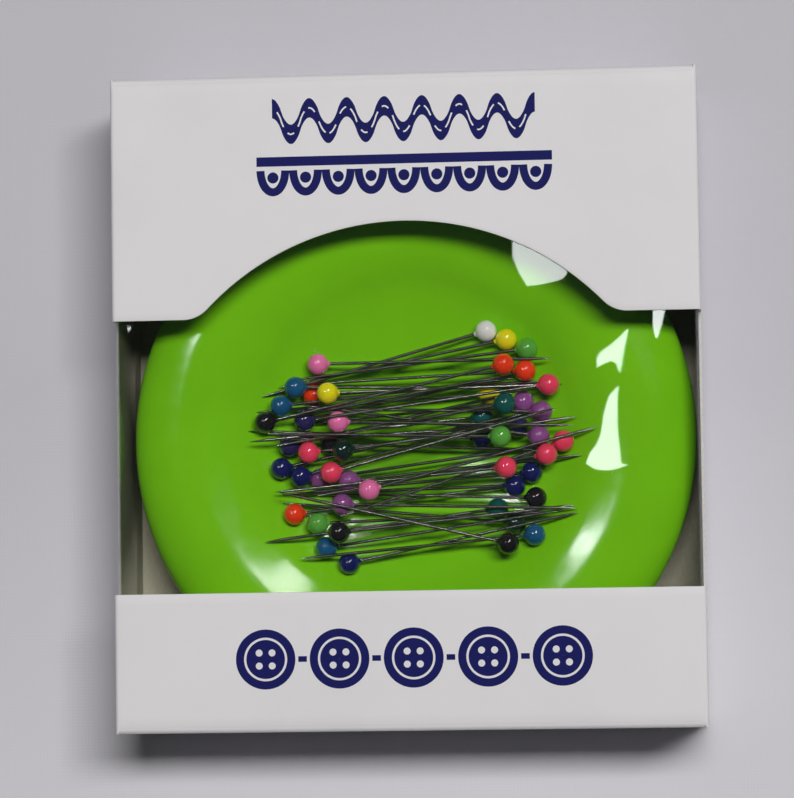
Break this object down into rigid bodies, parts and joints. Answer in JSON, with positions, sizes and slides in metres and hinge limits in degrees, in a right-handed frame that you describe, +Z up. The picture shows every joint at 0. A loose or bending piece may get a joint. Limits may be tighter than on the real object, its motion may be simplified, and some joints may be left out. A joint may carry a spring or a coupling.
{
  "type": "pin cushion",
  "caption": "Round magnetic pin cushion, a glossy dish of ball-headed pins, inside a folding carton with a clear window that wraps round both sides.",
  "frame": {"origin": "centre of the outer face of the carton's back panel, which the object lies on", "axes": "+Z up through the window, +Y towards the carton's top end, +X to the right of the front"},
  "size_m": [0.105, 0.117, 0.031],
  "materials": {
    "carton_board": "white clay-coated board, semi-matte",
    "clear_film": "clear PET film, glossy",
    "green_plastic": "glossy moulded plastic",
    "base_plastic": "fine moulded texture",
    "ferrite": "sintered ferrite, matt",
    "steel_plate": "zinc-plated steel",
    "foam": "closed-cell foam",
    "zinc_screws": "bright zinc",
    "rubber": "soft rubber",
    "pin_steel": "polished steel wire",
    "head_white": "glossy moulded ball",
    "head_yellow": "glossy moulded ball",
    "head_orange_red": "glossy moulded ball",
    "head_rose": "glossy moulded ball",
    "head_pink": "glossy moulded ball",
    "head_purple": "glossy moulded ball",
    "head_violet": "glossy moulded ball",
    "head_blue": "glossy moulded ball",
    "head_navy": "glossy moulded ball",
    "head_teal": "glossy moulded ball",
    "head_green": "glossy moulded ball",
    "head_dark_green": "glossy moulded ball",
    "head_black": "glossy moulded ball"
  },
  "bodies": {
    "carton": {"carton_back_panel": "carton_board", "carton_glue_flap": "carton_board", "carton_left_side_panel": "carton_board", "carton_right_side_panel": "carton_board", "carton_front_upper_panel": "carton_board", "carton_front_lower_panel": "carton_board", "window_film": "clear_film"},
    "cushion": {"dish_shell": "green_plastic", "base_cover": "base_plastic", "magnet_disc": "ferrite", "magnet_backing_plate": "steel_plate", "foam_pad": "foam", "base_screws": "zinc_screws", "rubber_feet": "rubber"},
    "pin_heap": {"pin_shafts": "pin_steel", "pin_heads_white": "head_white", "pin_heads_yellow": "head_yellow", "pin_heads_orange_red": "head_orange_red", "pin_heads_rose": "head_rose", "pin_heads_pink": "head_pink", "pin_heads_purple": "head_purple", "pin_heads_violet": "head_violet", "pin_heads_blue": "head_blue", "pin_heads_navy": "head_navy", "pin_heads_teal": "head_teal", "pin_heads_green": "head_green", "pin_heads_dark_green": "head_dark_green", "pin_heads_black": "head_black"},
    "top_closure": {"top_closure_flap": "carton_board"},
    "top_dust_left": {"top_dust_flap_left": "carton_board"},
    "top_dust_right": {"top_dust_flap_right": "carton_board"},
    "bottom_closure": {"bottom_closure_flap": "carton_board"},
    "bottom_dust_left": {"bottom_dust_flap_left": "carton_board"},
    "bottom_dust_right": {"bottom_dust_flap_right": "carton_board"}
  },
  "joints": [
    {"name": "cushion_slide", "type": "slide", "parent": "carton", "child": "cushion", "axis": [0, 1, 0], "range_m": [0, 0.117]},
    {"name": "top_closure_hinge", "type": "hinge", "parent": "carton", "child": "top_closure", "pos_m": [0, 0.0585, 0.031], "axis": [1, 0, 0], "range_deg": [0, 256]},
    {"name": "top_dust_left_hinge", "type": "hinge", "parent": "carton", "child": "top_dust_left", "pos_m": [-0.0525, 0.0585, 0.0155], "axis": [0, 0, 1], "range_deg": [0, 170]},
    {"name": "top_dust_right_hinge", "type": "hinge", "parent": "carton", "child": "top_dust_right", "pos_m": [0.0525, 0.0585, 0.0155], "axis": [0, 0, -1], "range_deg": [0, 170]},
    {"name": "bottom_closure_hinge", "type": "hinge", "parent": "carton", "child": "bottom_closure", "pos_m": [0, -0.0585, 0.031], "axis": [-1, 0, 0], "range_deg": [0, 180]},
    {"name": "bottom_dust_left_hinge", "type": "hinge", "parent": "carton", "child": "bottom_dust_left", "pos_m": [-0.0525, -0.0585, 0.0155], "axis": [0, 0, -1], "range_deg": [0, 120]},
    {"name": "bottom_dust_right_hinge", "type": "hinge", "parent": "carton", "child": "bottom_dust_right", "pos_m": [0.0525, -0.0585, 0.0155], "axis": [0, 0, 1], "range_deg": [0, 120]},
    {"name": "pin_heap_lift", "type": "slide", "parent": "cushion", "child": "pin_heap", "axis": [0, 0, 1], "range_m": [0, 0.003]}
  ],
  "couplings": [
    {"joint": "top_closure_hinge", "follows": "cushion_slide", "rad_per_m": 38},
    {"joint": "top_dust_left_hinge", "follows": "cushion_slide", "rad_per_m": 25},
    {"joint": "top_dust_right_hinge", "follows": "cushion_slide", "rad_per_m": 25},
    {"joint": "bottom_dust_left_hinge", "follows": "bottom_closure_hinge", "ratio": 0.65},
    {"joint": "bottom_dust_right_hinge", "follows": "bottom_closure_hinge", "ratio": 0.65}
  ]
}
